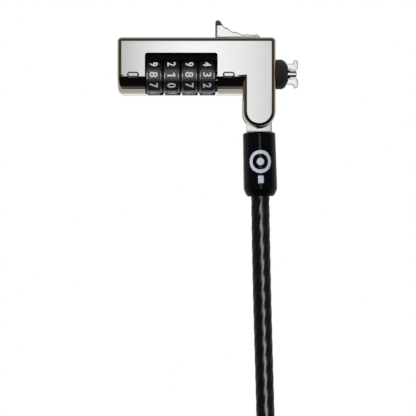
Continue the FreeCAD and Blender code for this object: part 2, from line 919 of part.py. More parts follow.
def make_claw(label, side):
    """A claw on its pin: an arm inside the nose, a neck, and a hook outside the slot."""
    relief_end = S.collar_right - RELIEF_BACK
    nose_back, nose_offset = HOOK_NOSE
    corner_back, corner_fall = HOOK_CORNER
    hook_start, neck_end = (S.claw_tip - back for back in HOOK_BACK)
    shoulder_ahead, shoulder_rise = ARM_SHOULDER
    corners = [
        (S.claw_pin_x, S.claw_relief),
        (relief_end, S.claw_relief),
        (relief_end, NECK_INNER),
        (S.claw_step, NECK_INNER),
        (S.claw_step, HOOK_INNER),
        (S.claw_tip - nose_back, HOOK_INNER),
        (S.claw_tip, nose_offset),
        (S.claw_tip, S.claw_hook - corner_fall),
        (S.claw_tip - corner_back, S.claw_hook),
        (hook_start, S.claw_hook),
        (neck_end, S.claw_neck),
        (S.bush_left - ARM_BEND, S.claw_neck),
        (S.claw_pin_x + shoulder_ahead, S.claw_pin_offset + shoulder_rise),
        (S.claw_pin_x, S.claw_pin_offset + S.claw_eye),
    ]
    placed = [(x, S.head_y + sized(offset) * side) for x, offset in corners]
    low = S.axis_z - S.claw_thickness / 2
    arm = pad(f"{label}_arm", placed, low, low + S.claw_thickness)
    centre = (S.claw_pin_x, S.head_y + S.claw_pin_offset * side, low)
    eye = cylinder(f"{label}_eye", centre, "z", S.claw_eye, S.claw_thickness)
    pin_radius = S.claw_pin_radius + S.fit_gap
    bore = cylinder(f"{label}_bore", centre, "z", pin_radius, S.claw_thickness)
    finish(cut(f"{label}_cut", fuse(f"{label}_whole", arm, eye), bore), label)


BUSH_SLOT_ROOM = 0.1
COLLAR_SLOT_ROOM = 0.15


def nose_slot(name, start, end, room):
    """The slot that the claws and the blade come out of."""
    half = S.claw_thickness / 2 + room
    return box(
        name,
        (start - 1, S.head_y - S.bush_slot - room, S.axis_z - half),
        (end + 1, S.head_y + S.bush_slot + room, S.axis_z + half),
    )


def make_nose():
    """The bush that carries the claws through the wall, and the domed rubber collar on it."""
    start = (S.bush_left, S.head_y, S.axis_z)
    tube = cylinder("bush_tube", start, "x", S.bush_radius, S.bush_right - S.bush_left)
    bush_slot = nose_slot("bush_slot", S.bush_left, S.bush_right, BUSH_SLOT_ROOM)
    finish(cut("bush_cut", tube, bush_slot), "nose_bush")
    corners = [
        (S.body_right, S.bush_radius),
        (S.bush_right, S.bush_radius),
        (S.bush_right, 0),
        (S.collar_right, 0),
        (S.collar_right, S.collar_face, S.collar_dome),
        (S.collar_shoulder, S.collar_front, S.collar_bulge),
        (S.body_right, S.collar_root),
    ]
    collar = revolve("collar", corners)
    put(collar, sized(0), S.head_y, S.axis_z)
    collar_slot = nose_slot("collar_slot", S.bush_right, S.collar_right, COLLAR_SLOT_ROOM)
    finish(cut("collar_cut", collar, collar_slot), "rubber_collar")


# ---------------------------------------------------------------- cable end


def leaned(thing):
    """Turns a piece about the link's pivot, to the cable's small lean."""
    turn = FreeCAD.Rotation(FreeCAD.Vector(0, 0, 1), S.lean.value)
    thing.Placement = FreeCAD.Placement(
        FreeCAD.Vector(), turn, vector(S.pivot_x, S.pivot_y, 0)
    ).multiply(thing.Placement)
    return thing


def along_cable(thing):
    """Puts a turned piece on the cable's axis, its own zero at the pivot."""
    turn = FreeCAD.Rotation(FreeCAD.Vector(0, 0, 1), S.lean.value - 90)
    thing.Placement = FreeCAD.Placement(vector(S.pivot_x, S.pivot_y, S.pivot_z), turn)
    return thing


SWIVEL_RADIUS = 2.9
SWIVEL_THICKNESS = 1.2
FERRULE_NECK = 1.25
FERRULE_EDGE = 0.4
# the ferrule's far end: how far back from it, and the radius there
FERRULE_END = [(0, 3.9), (0.7, 4.45)]
FERRULE_SWELL = (2.2, 4.5)
CRIMP_GAP = (0.4, 0.2)


def make_link():
    """The tongue in the leg's fork, with a round shank that the ferrule turns on."""
    end = S.pivot_y - S.link_length
    corners = [
        (S.pivot_x - S.link_radius, end),
        (S.pivot_x + S.link_radius, end),
        (S.pivot_x + S.link_radius, S.pivot_y, S.link_radius),
        (S.pivot_x, S.pivot_y + S.link_radius, S.link_radius),
        (S.pivot_x - S.link_radius, S.pivot_y),
    ]
    half = S.link_thickness / 2
    tongue = pad("link_tongue", corners, S.pivot_z - half, S.pivot_z + half)
    shank_end = S.pivot_y - S.shank_end
    shank_start = (S.pivot_x, shank_end, S.pivot_z)
    shank = cylinder("link_shank", shank_start, "y", S.shank_radius, S.shank_end - S.link_length + 1)
    bore_start = (S.pivot_x, S.pivot_y, S.pivot_z - half)
    bore = cylinder("link_bore", bore_start, "z", S.pin_radius + S.fit_gap, S.link_thickness)
    finish(leaned(cut("link_cut", fuse("link_whole", tongue, shank), bore)), "pivot_link")

    ring = revolve(
        "swivel",
        [
            (S.shank_end - SWIVEL_THICKNESS, S.shank_radius),
            (S.shank_end, S.shank_radius),
            (S.shank_end, SWIVEL_RADIUS),
            (S.shank_end - SWIVEL_THICKNESS, SWIVEL_RADIUS),
        ],
    )
    finish(along_cable(ring), "swivel_ring")


def make_ferrule():
    """The black sleeve over the swivel, and the crimp that grips the cable in it."""
    neck = S.shank_end - FERRULE_NECK
    corners = [
        (S.sleeve_start, S.shank_radius + S.fit_gap),
        (neck, S.shank_radius + S.fit_gap),
        (neck, S.sleeve_bore),
        (S.sleeve_end, S.sleeve_bore),
        *((S.sleeve_end - back, radius) for back, radius in FERRULE_END),
        *((S.sleeve_end - back, S.sleeve_swell) for back in FERRULE_SWELL),
        (S.sleeve_start + FERRULE_EDGE, S.sleeve_radius),
        (S.sleeve_start, S.sleeve_radius - FERRULE_EDGE),
    ]
    finish(along_cable(revolve("sleeve", corners)), "ferrule_sleeve")
    ahead, back = CRIMP_GAP
    start = S.shank_end + ahead
    end = S.sleeve_end - back
    corners = [(start, S.cable_radius), (end, S.cable_radius), (end, S.sleeve_bore), (start, S.sleeve_bore)]
    finish(along_cable(revolve("crimp", corners)), "cable_crimp")


# ---------------------------------------------------------------- cable

# The way of the cable's axis from the crimp to the coil, and of the end eye about the coil's
# middle, chosen by hand.
LEAD_ROUTE = [
    (15.57, -16.0, 6.2),
    (16.01, -34.0, 6.2),
    (16.45, -53.0, 4.3),
    (16.85, -73.0, 2.75),
    (17.45, -93.0, 2.75),
    (17.75, -112.0, 3.45),
    (17.8, -122.0, 3.75),
]
EYE_ROUTE = [
    (28.4, -1.0, 14.75),
    (26.7, -13.0, 16.6),
    (20.4, -25.6, 20.0),
    (8.8, -32.8, 21.25),
    (-8.8, -32.8, 21.25),
    (-19.0, -25.0, 21.0),
    (-24.4, -8.4, 20.6),
    (-17.6, 8.2, 20.3),
    (0.0, 14.8, 20.3),
    (15.8, 8.0, 20.3),
    (21.8, -7.5, 20.6),
    (14.4, -22.4, 21.0),
    (4.5, -27.2, 21.25),
    (-5.0, -27.3, 21.25),
]
COIL_COLUMNS = 3
COIL_LAYERS = 3
EYE_CLAMP = (-4.5, 5.5)
EYE_SLEEVE_WALL = 0.95
EYE_WAIST = 1.5


def rounded_path(points):
    """Straight runs joined by tangent arcs as large as the runs allow; prints the radii."""
    edges = []
    radii = []
    here = points[0]
    for before, corner, after in zip(points, points[1:], points[2:]):
        back = (before - corner).normalize()
        ahead = (after - corner).normalize()
        half_turn = (math.pi - back.getAngle(ahead)) / 2
        trim = 0.45 * min((corner - before).Length, (after - corner).Length)
        radii.append(trim / math.tan(half_turn))
        start = corner + back * trim
        end = corner + ahead * trim
        inward = (back + ahead).normalize()
        centre_distance = radii[-1] / math.cos(half_turn)
        middle = corner + inward * (centre_distance - radii[-1])
        edges.append(Part.LineSegment(here, start).toShape())
        edges.append(Part.Arc(start, middle, end).toShape())
        here = end
    edges.append(Part.LineSegment(here, points[-1]).toShape())
    print("  radii in mm:", " ".join(f"{radius:.0f}" for radius in radii))
    return Part.Wire(edges)


def make_cord(label, points):
    """A plain round tube along a route."""
    print(label)
    path = rounded_path(points)
    heading = points[1] - points[0]
    radius = S.cable_radius.value
    circle = Part.Wire([Part.Circle(points[0], heading, radius).toShape()])
    solid = path.makePipeShell([circle], True, False)
    expected = math.pi * radius**2 * path.Length
    print(f"  length {path.Length:.0f} mm, volume {solid.Volume / expected:.4f} of section x length")
    cord = doc.addObject("Part::Feature", label + "_tube")
    cord.Shape = solid
    finish(cord, label)


def make_coil():
    """The outer shape of the wound turns, as one ring."""
    breadth = S.cable_radius * (2 * COIL_COLUMNS)
    low = S.coil_middle - breadth / 2
    high = S.coil_middle + breadth / 2
    top = S.coil_base + S.cable_radius * (2 * COIL_LAYERS)
    corner = S.cable_radius
    corners = [
        (low + corner, S.coil_base),
        (high - corner, S.coil_base, corner),
        (high, S.coil_base + corner),
        (high, top - corner, corner),
        (high - corner, top),
        (low + corner, top, corner),
        (low, top - corner),
        (low, S.coil_base + corner, corner),
    ]
    body = doc.addObject("PartDesign::Body", "coil")
    sketch = outline(body, "coil_outline", corners)
    feature = body.newObject("PartDesign::Revolution", "coil_turn")
    feature.Profile = sketch
    feature.ReferenceAxis = (sketch, ["V_Axis"])
    feature.Angle = 360
    upright = FreeCAD.Rotation(FreeCAD.Vector(1, 0, 0), 90)
    body.Placement = FreeCAD.Placement(vector(S.coil_x, S.coil_y, 0), upright)
    doc.recompute()
    return finish(body, "cable_coil")


def make_eye_sleeve():
    """The metal barrel crimped round both strands of the end eye."""
    half_width = S.cable_radius * 2 + EYE_SLEEVE_WALL
    half_height = S.cable_radius + EYE_SLEEVE_WALL
    middle = S.coil_y + (S.eye_outer + S.eye_inner) / 2
    start, end = EYE_CLAMP
    corners_low = (S.coil_x + start, middle - half_width, S.eye_height - half_height)
    corners_high = (S.coil_x + end, middle + half_width, S.eye_height + half_height)
    block = box("eye_barrel", corners_low, corners_high)
    left = S.coil_x + start - 1
    length = end - start + 2
    bores = [
        cylinder(name, (left, S.coil_y + strand, S.eye_height), "x", S.cable_radius, length)
        for name, strand in (("outer_bore", S.eye_outer), ("inner_bore", S.eye_inner))
    ]
    waist = box(
        "eye_waist",
        (left, middle - S.cable_radius, S.eye_height - EYE_WAIST),
        (left + length, middle + S.cable_radius, S.eye_height + EYE_WAIST),
    )
    finish(cut("eye_sleeve_cut", block, waist, *bores), "eye_sleeve")


def make_tie(coil):
    """The strap round the coil's bundle, on the side nearest the lock."""
    breadth = S.cable_radius * (2 * COIL_COLUMNS)
    height = S.cable_radius * (2 * COIL_LAYERS)
    thick = S.tie_thickness
    half = S.tie_width / 2
    near = S.coil_y + S.coil_middle - breadth / 2
    low = (S.coil_x - half, near - thick * 2, S.coil_base - thick)
    high = (S.coil_x + half, near + breadth + thick, S.coil_base + height + thick)
    finish(cut("tie_cut", box("tie_block", low, high), coil), "coil_tie")


# ---------------------------------------------------------------- build and write


def build():
    make_housing()
    make_shroud()
    make_detent_spring()
    make_change_screw()
    for number in range(1, 5):
        make_wheel(number)
    make_spindle()
    slider_pin, blade_pin = make_carriage()
    make_thumb_slider(slider_pin)
    make_blade(blade_pin)
    make_return_spring()
    make_claw("upper_claw", 1)
    make_claw("lower_claw", -1)
    make_nose()
    make_link()
    make_ferrule()
    make_cord("cable_lead", [vector(*point) for point in LEAD_ROUTE])
    coil = make_coil()
    coil_middle = vector(S.coil_x, S.coil_y, 0)
    make_cord("cable_eye", [coil_middle + vector(*point) for point in EYE_ROUTE])
    make_eye_sleeve()
    make_tie(coil)
    doc.recompute()


def check():
    """Stops if an object failed or a sub-part is empty or invalid."""
    for thing in doc.Objects:
        if {"Invalid", "Error"} & set(thing.State):
            raise RuntimeError(f"{thing.Name} failed: {thing.State}")
    for thing in finished:
        if thing.Shape.isNull() or not thing.Shape.isValid() or not thing.Shape.Solids:
            raise RuntimeError(f"{thing.Label} has no valid solid")


def write():
    os.makedirs("parts", exist_ok=True)
    for thing in finished:
        thing.Shape.exportStep(f"parts/{thing.Label}.step")
        print(f"{thing.Label}: {len(thing.Shape.Solids)} solid, {thing.Shape.Volume:.1f} mm3")


build()
check()
write()
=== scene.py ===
import math

import bmesh
import bpy
from mathutils import Matrix, Vector


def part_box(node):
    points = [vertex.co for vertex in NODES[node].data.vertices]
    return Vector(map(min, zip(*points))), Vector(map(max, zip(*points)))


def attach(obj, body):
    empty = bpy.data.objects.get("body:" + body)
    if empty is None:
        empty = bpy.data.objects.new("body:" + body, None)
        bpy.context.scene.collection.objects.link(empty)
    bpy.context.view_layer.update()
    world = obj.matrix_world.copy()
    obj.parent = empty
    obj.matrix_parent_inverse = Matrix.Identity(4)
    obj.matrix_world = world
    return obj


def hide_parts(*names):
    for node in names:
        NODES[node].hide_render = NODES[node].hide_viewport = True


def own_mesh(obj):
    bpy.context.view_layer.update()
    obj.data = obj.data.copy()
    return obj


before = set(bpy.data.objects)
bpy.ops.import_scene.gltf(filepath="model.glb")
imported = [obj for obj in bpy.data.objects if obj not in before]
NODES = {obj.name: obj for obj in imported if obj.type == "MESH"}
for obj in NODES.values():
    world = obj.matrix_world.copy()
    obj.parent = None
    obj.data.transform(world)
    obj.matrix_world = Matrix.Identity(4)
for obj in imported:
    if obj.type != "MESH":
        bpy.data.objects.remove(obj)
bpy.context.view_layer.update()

MM = 0.001
WHEELS = range(1, 5)

# Places taken from the frame.
WHEEL_LOW, WHEEL_HIGH = (Vector(corner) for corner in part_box("number_wheel_1"))
AXIS_Y = (WHEEL_LOW.y + WHEEL_HIGH.y) / 2
AXIS_Z = (WHEEL_LOW.z + WHEEL_HIGH.z) / 2
WHEEL_FLAT = (WHEEL_HIGH.z - WHEEL_LOW.z) / 2

# The link's pin, the cable's lean to the right of straight down, and the ferrule's far end.
PIVOT = Vector((15.2, -1.0, 6.2)) * MM
LEAN = math.radians(1.4)
CABLE_AXIS = Vector((math.sin(LEAN), -math.cos(LEAN), 0))


# ---------------------------------------------------------------- node materials


class Shader:
    """A principled material with short calls for its nodes."""

    def __init__(self, name, colour, roughness, metallic=0.0, **values):
        self.material = bpy.data.materials.new(name)
        self.material.use_nodes = True
        self.tree = self.material.node_tree
        self.surface = self.tree.nodes["Principled BSDF"]
        self.surface.inputs["Base Color"].default_value = (*colour, 1)
        self.surface.inputs["Roughness"].default_value = roughness
        self.surface.inputs["Metallic"].default_value = metallic
        for socket, value in values.items():
            self.surface.inputs[socket.replace("_", " ")].default_value = value
        self.place = self.node("ShaderNodeTexCoord").outputs["Object"]

    def node(self, kind, **values):
        made = self.tree.nodes.new(kind)
        for socket, value in values.items():
            made.inputs[socket.replace("_", " ")].default_value = value
        return made

    def link(self, output, socket):
        self.tree.links.new(output, socket)

    def noise(self, scale, detail=4.0):
        made = self.node("ShaderNodeTexNoise", Scale=scale, Detail=detail)
        self.link(self.place, made.inputs["Vector"])
        return made.outputs["Fac"]

    def spread(self, source, low, high):
        """Maps a 0 to 1 pattern to a range."""
        made = self.node("ShaderNodeMapRange", To_Min=low, To_Max=high)
        self.link(source, made.inputs["Value"])
        return made.outputs["Result"]

    def vary_roughness(self, scale, low, high):
        self.link(self.spread(self.noise(scale), low, high), self.surface.inputs["Roughness"])

    def vary_colour(self, scale, dark, light):
        made = self.node("ShaderNodeValToRGB")
        made.color_ramp.elements[0].color = (*dark, 1)
        made.color_ramp.elements[1].color = (*light, 1)
        self.link(self.noise(scale), made.inputs["Fac"])
        self.link(made.outputs["Color"], self.surface.inputs["Base Color"])

    def darken_above(self, height, colour, dark):
        """One colour below a height over the floor, and a dark painted shade above it."""
        parts = self.node("ShaderNodeSeparateXYZ")
        self.link(self.place, parts.inputs["Vector"])
        share = self.node("ShaderNodeMapRange", From_Min=height, From_Max=height + SHADE_EDGE)
        self.link(parts.outputs["Z"], share.inputs["Value"])
        made = self.node("ShaderNodeValToRGB")
        made.color_ramp.elements[0].color = (*colour, 1)
        made.color_ramp.elements[1].color = (*dark, 1)
        self.link(share.outputs["Result"], made.inputs["Fac"])
        self.link(made.outputs["Color"], self.surface.inputs["Base Color"])

    def bump(self, height, strength, distance):
        made = self.node("ShaderNodeBump", Strength=strength, Distance=distance)
        self.link(height, made.inputs["Height"])
        self.link(made.outputs["Normal"], self.surface.inputs["Normal"])


PEARL_NICKEL = (0.35, 0.32, 0.27)
# Painted shade: black inside the lock, above a height over the floor, fading in over an edge.
INSIDE_SHADE_BLACK = (0.006, 0.006, 0.006)
SHADE_START = 0.8 * MM
SHADE_EDGE = 0.2 * MM


def plated_metal():
    """Warm pearl nickel with the faint waviness of a polished casting."""
    made = Shader("plated_metal", PEARL_NICKEL, 0.03, metallic=1.0)
    made.vary_roughness(900, 0.015, 0.04)
    made.bump(made.noise(220), 0.008, 0.0002)
    return made.material


def cover_metal():
    """The same plating outside, with painted shade: black above a height, towards the wheels."""
    made = Shader("cover_metal", PEARL_NICKEL, 0.08, metallic=1.0)
    made.vary_roughness(900, 0.05, 0.14)
    made.darken_above(SHADE_START, PEARL_NICKEL, INSIDE_SHADE_BLACK)
    made.bump(made.noise(260), 0.03, 0.0002)
    return made.material


def claw_metal():
    made = Shader("claw_metal", (0.36, 0.335, 0.29), 0.04, metallic=1.0)
    made.vary_roughness(1500, 0.02, 0.06)
    made.bump(made.noise(600), 0.01, 0.0001)
    return made.material


def steel():
    made = Shader("inner_steel", (0.30, 0.295, 0.285), 0.3, metallic=1.0)
    made.vary_roughness(1200, 0.22, 0.4)
    made.bump(made.noise(1600), 0.08, 0.0002)
    return made.material


def spring_steel():
    made = Shader("spring_steel", (0.02, 0.02, 0.022), 0.4, metallic=1.0)
    made.vary_roughness(1200, 0.3, 0.5)
    made.bump(made.noise(1600), 0.08, 0.0002)
    return made.material


def blade_steel():
    made = Shader("blade_steel", (0.34, 0.32, 0.285), 0.05, metallic=1.0)
    made.vary_roughness(1500, 0.03, 0.08)
    made.bump(made.noise(600), 0.01, 0.0001)
    return made.material


def brass():
    made = Shader("ring_brass", (0.30, 0.23, 0.11), 0.3, metallic=1.0)
    made.vary_roughness(1400, 0.22, 0.4)
    made.bump(made.noise(1800), 0.08, 0.0002)
    return made.material


def wheel_plastic():
    made = Shader("wheel_plastic", (0.005, 0.005, 0.006), 0.3)
    made.vary_roughness(1600, 0.24, 0.38)
    made.bump(made.noise(2400), 0.10, 0.0001)
    return made.material


def shroud_plastic():
    made = Shader("shroud_plastic", (0.003, 0.003, 0.003), 0.5, IOR=1.15)
    made.vary_roughness(1400, 0.42, 0.6)
    made.bump(made.noise(3000), 0.2, 0.0001)
    return made.material


def rubber():
    made = Shader("collar_rubber", (0.018, 0.017, 0.017), 0.6, IOR=1.25)
    made.vary_roughness(1500, 0.5, 0.72)
    made.bump(made.noise(2600), 0.35, 0.0002)
    return made.material


def ferrule_gloss():
    made = Shader("ferrule_gloss", (0.003, 0.003, 0.004), 0.14, IOR=1.15)
    made.vary_roughness(700, 0.1, 0.2)
    made.bump(made.noise(420), 0.05, 0.0003)
    return made.material


def digit_paint():
    made = Shader("digit_paint", (0.58, 0.59, 0.62), 0.5)
    made.vary_colour(2500, (0.53, 0.54, 0.57), (0.63, 0.64, 0.67))
    made.bump(made.noise(4000), 0.1, 0.0001)
    return made.material


def mark_paint():
    made = Shader("mark_paint", (0.52, 0.58, 0.68), 0.4)
    made.vary_colour(900, (0.44, 0.50, 0.61), (0.58, 0.65, 0.75))
    made.bump(made.noise(3000), 0.1, 0.0001)
    return made.material


def index_metal():
    made = Shader("index_metal", (0.35, 0.295, 0.25), 0.04, metallic=1.0)
    made.vary_roughness(1800, 0.02, 0.06)
    made.bump(made.noise(900), 0.02, 0.0001)
    return made.material


def cable_sheath():
    """Glossy black sheath, drawn tight over twisted strands."""
    made = Shader("cable_sheath", (0.003, 0.003, 0.003), 0.24, IOR=1.2)
    made.vary_colour(1800, (0.001, 0.001, 0.001), (0.004, 0.004, 0.004))
    made.vary_roughness(500, 0.29, 0.32)
    return made.material


def tie_fabric():
    made = Shader("tie_fabric", (0.02, 0.02, 0.022), 0.85, Sheen_Weight=0.3)
    waves = made.node("ShaderNodeTexWave", Scale=900.0, Distortion=1.5)
    made.link(made.place, waves.inputs["Vector"])
    made.bump(waves.outputs["Fac"], 0.5, 0.0003)
    made.vary_colour(700, (0.012, 0.012, 0.013), (0.035, 0.035, 0.038))
    return made.material


PLATED = plated_metal()
CLAW_METAL = claw_metal()
COVER_METAL_AND_SHADE = cover_metal()
STEEL = steel()
SPRING_STEEL = spring_steel()
BLADE_STEEL = blade_steel()
BRASS = brass()
WHEEL_PLASTIC = wheel_plastic()
SHROUD_PLASTIC = shroud_plastic()
RUBBER = rubber()
FERRULE_GLOSS = ferrule_gloss()
DIGIT_PAINT = digit_paint()
MARK_PAINT = mark_paint()
INDEX_METAL = index_metal()
CABLE_SHEATH = cable_sheath()
TIE_FABRIC = tie_fabric()

FINISHES = {
    PLATED: ["front_housing", "thumb_slider", "pivot_link"],
    # The rear cover's material paints the shade inside the lock black above a height.
    COVER_METAL_AND_SHADE: ["rear_cover"],
    SPRING_STEEL: ["detent_spring"],
    CLAW_METAL: ["upper_claw", "lower_claw", "eye_sleeve"],
    STEEL: [
        "cover_screws",
        "claw_pins",
        "pivot_pin",
        "nose_bush",
        "slider_carriage",
        "slider_pin",
        "blade_pin",
        "spindle",
        "return_spring",
        "code_change_screw",
        "swivel_ring",
        "cable_crimp",
    ],
    BLADE_STEEL: ["locking_blade"],
    BRASS: [f"code_ring_{number}" for number in WHEELS],
    WHEEL_PLASTIC: [f"number_wheel_{number}" for number in WHEELS],
    SHROUD_PLASTIC: ["dial_shroud"],
    RUBBER: ["rubber_collar"],
    FERRULE_GLOSS: ["ferrule_sleeve"],
    INDEX_METAL: ["index_mark_left", "index_mark_right"],
    TIE_FABRIC: ["coil_tie"],
}


# Widths of the small rounds on the edges of machined and moulded pieces.
EDGE_ROUNDS = {
    "thumb_slider": 0.25 * MM,
    "upper_claw": 0.14 * MM,
    "lower_claw": 0.14 * MM,
    "pivot_link": 0.12 * MM,
    "eye_sleeve": 0.8 * MM,
    "coil_tie": 0.4 * MM,
}


# Points closer than this are one point. An edge under the first angle is dissolved, and one
# over the second gets a round. Shading is sharp over edges past the last two, in degrees.
SAME_PLACE = 0.001 * MM
FLAT_ANGLE = math.radians(1)
EDGE_ANGLE = math.radians(25)
EDGE_STEPS = 4
CAD_SHARP = 30
CURVED_SHARP = 60
FULL_WEIGHT = 100


def paint(piece, material):
    piece.data.materials.clear()
    piece.data.materials.append(material)


def add_piece(name, mesh, material, body):
    """A new visible piece that moves with a body."""
    piece = bpy.data.objects.new(name, mesh)
    bpy.context.scene.collection.objects.link(piece)
    paint(piece, material)
    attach(piece, body)
    return piece


def mesh_from(name, work):
    """Turns a finished bmesh into a mesh and frees it."""
    mesh = bpy.data.meshes.new(name)
    work.to_mesh(mesh)
    work.free()
    return mesh


def mesh_from_curve(curve):
    """The mesh that a curve or text makes."""
    holder = bpy.data.objects.new(curve.name, curve)
    mesh = bpy.data.meshes.new_from_object(holder)
    bpy.data.objects.remove(holder)
    return mesh


def smooth_within(mesh, degrees):
    """Smooth shading, except over edges sharper than an angle."""
    for face in mesh.polygons:
        face.use_smooth = True
    mesh.set_sharp_from_angle(angle=math.radians(degrees))


def soften(piece, width):
    """A small round on a machined piece's edges."""
    weld = piece.modifiers.new("joined_faces", "WELD")
    weld.merge_threshold = SAME_PLACE
    merge = piece.modifiers.new("whole_faces", "DECIMATE")
    merge.decimate_type = "DISSOLVE"
    merge.angle_limit = FLAT_ANGLE
    bevel = piece.modifiers.new("edge_round", "BEVEL")
    bevel.width = width
    bevel.segments = EDGE_STEPS
    bevel.use_clamp_overlap = False
    bevel.limit_method = "ANGLE"
    bevel.angle_limit = EDGE_ANGLE
    flat = piece.modifiers.new("flat_faces", "WEIGHTED_NORMAL")
    flat.weight = FULL_WEIGHT


def finish_frame():
    """Materials and edge rounds on the pieces carried over from the frame."""
    for material, names in FINISHES.items():
        for name in names:
            paint(NODES[name], material)
            smooth_within(NODES[name].data, CAD_SHARP)
    for name, width in EDGE_ROUNDS.items():
        soften(NODES[name], width)


# ---------------------------------------------------------------- digits


DIGIT_HEIGHT = 2.45 * MM
DIGIT_DEPTH = 0.06 * MM
DIGIT_BOLDNESS = 0.06 * MM
FONT_SHARE = 1.3
CODE = (8, 1, 8, 3)
FLATS = 10

# The outline of a one with a slanted flag, in digit heights, from the foot round to the flag.
ONE_LEFT, ONE_RIGHT = -0.06, 0.15
ONE_OUTLINE = [
    (ONE_LEFT, 0),
    (ONE_RIGHT, 0),
    (ONE_RIGHT, 1),
    (0, 1),
    (-0.30, 0.84),
    (-0.30, 0.64),
    (ONE_LEFT, 0.77),
]


def one_mesh():
    """The one, drawn as an outline and given its depth."""
    work = bmesh.new()
    corners = [(x * DIGIT_HEIGHT, y * DIGIT_HEIGHT, -DIGIT_DEPTH) for x, y in ONE_OUTLINE]
    face = work.faces.new([work.verts.new(corner) for corner in corners])
    raised = bmesh.ops.extrude_face_region(work, geom=[face])
    tops = [item for item in raised["geom"] if isinstance(item, bmesh.types.BMVert)]
    bmesh.ops.translate(work, verts=tops, vec=(0, 0, 2 * DIGIT_DEPTH))
    bmesh.ops.recalc_face_normals(work, faces=work.faces[:])
    return mesh_from("digit_1_outline", work)


def font_mesh(digit):
    curve = bpy.data.curves.new(f"digit_{digit}_curve", "FONT")
    curve.body = str(digit)
    curve.size = DIGIT_HEIGHT * FONT_SHARE
    curve.offset = DIGIT_BOLDNESS
    curve.extrude = DIGIT_DEPTH
    curve.align_x = "CENTER"
    return mesh_from_curve(curve)


def digit_mesh(digit):
    """One digit in the middle of the XY plane, its top towards +X."""
    mesh = one_mesh() if digit == 1 else font_mesh(digit)
    xs = [point.co.x for point in mesh.vertices]
    ys = [point.co.y for point in mesh.vertices]
    middle = Vector(((min(xs) + max(xs)) / 2, (min(ys) + max(ys)) / 2, 0))
    share = DIGIT_HEIGHT / (max(ys) - min(ys))
    turn = Matrix.Rotation(math.radians(-90), 4, "Z")
    mesh.transform(turn @ Matrix.Diagonal((share, share, 1, 1)) @ Matrix.Translation(-middle))
    return mesh


def add_digits():
    """The ten digits of each wheel, with the set code on the flats that face up."""
    shapes = [digit_mesh(digit) for digit in range(FLATS)]
    out = Matrix.Translation((0, 0, WHEEL_FLAT))
    for number, shown in zip(WHEELS, CODE):
        low, high = (Vector(corner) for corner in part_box(f"number_wheel_{number}"))
        centre = Vector(((low.x + high.x) / 2, AXIS_Y, AXIS_Z))
        for digit, shape in enumerate(shapes):
            # a higher digit lies further round towards +Y
            turn = Matrix.Rotation(-2 * math.pi / FLATS * (digit - shown), 4, "X")
            mesh = shape.copy()
            mesh.transform(Matrix.Translation(centre) @ turn @ out)
            add_piece(f"digit_{number}_{digit}", mesh, DIGIT_PAINT, f"wheel_{number}")


# ---------------------------------------------------------------- return spring


SPRING_WIRE = 0.35 * MM
SPRING_PITCH = 0.9 * MM
SPRING_RADIUS = 1.85 * MM
SPRING_STEPS = 24
SPRING_ROUNDNESS = 3


def spring_mesh(start, length):
    """A round wire wound along X."""
    count = int(SPRING_STEPS * length / SPRING_PITCH)
    curve = bpy.data.curves.new("spring_wire", "CURVE")
    curve.dimensions = "3D"
    curve.bevel_depth = SPRING_WIRE / 2
    curve.bevel_resolution = SPRING_ROUNDNESS
    curve.use_fill_caps = True
    spline = curve.splines.new("POLY")
    spline.points.add(count)
    for step, point in enumerate(spline.points):
        angle = 2 * math.pi * step / SPRING_STEPS
        across = AXIS_Y + SPRING_RADIUS * math.cos(angle)
        up = AXIS_Z + SPRING_RADIUS * math.sin(angle)
        point.co = (start + SPRING_PITCH * step / SPRING_STEPS, across, up, 1)
    mesh = mesh_from_curve(curve)
    smooth_within(mesh, CURVED_SHARP)
    return mesh


def add_return_spring():
    """The coil spring at full length, moved whole with the slider; the real one shortens."""
    low, high = (Vector(corner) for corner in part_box("return_spring"))
    whole = high.x - low.x
    mesh = spring_mesh(low.x + SPRING_WIRE / 2, whole - SPRING_WIRE)
    piece = add_piece("return_spring_coil", mesh, STEEL, "slider")
    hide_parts("return_spring")
    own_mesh(piece)


# ---------------------------------------------------------------- ferrule mark


MARK_SURFACE = 5.03 * MM
MARK_THICKNESS = 0.06 * MM
MARK_CUTS = 2
MARK_MIDDLE = 15.0 * MM
RING_OUTSIDE = 3.4 * MM
RING_INSIDE = 2.4 * MM
RING_STEPS = 48
DOT_RADIUS = 1.1 * MM
DOT_STEPS = 32
BAR_HALF = 0.8 * MM
BAR_START = MARK_MIDDLE + 4.2 * MM
BAR_END = MARK_MIDDLE + 6.4 * MM


def circle_points(work, radius, count):
    """Points of a circle about the mark's middle, on the unrolled ferrule."""
    points = []
    for step in range(count):
        angle = 2 * math.pi * step / count
        place = Vector((radius * math.cos(angle), radius * math.sin(angle), 0))
        place.y += MARK_MIDDLE
        points.append(work.verts.new(place))
    return points


def ring_faces(work):
    outer = circle_points(work, RING_OUTSIDE, RING_STEPS)
    inner = circle_points(work, RING_INSIDE, RING_STEPS)
    for here in range(RING_STEPS):
        ahead = (here + 1) % RING_STEPS
        work.faces.new((outer[here], outer[ahead], inner[ahead], inner[here]))


def dot_faces(work):
    work.faces.new(circle_points(work, DOT_RADIUS, DOT_STEPS))


def bar_faces(work):
    low, high = BAR_START, BAR_END
    corners = [(-BAR_HALF, low), (BAR_HALF, low), (BAR_HALF, high), (-BAR_HALF, high)]
    work.faces.new([work.verts.new((x, y, 0)) for x, y in corners])


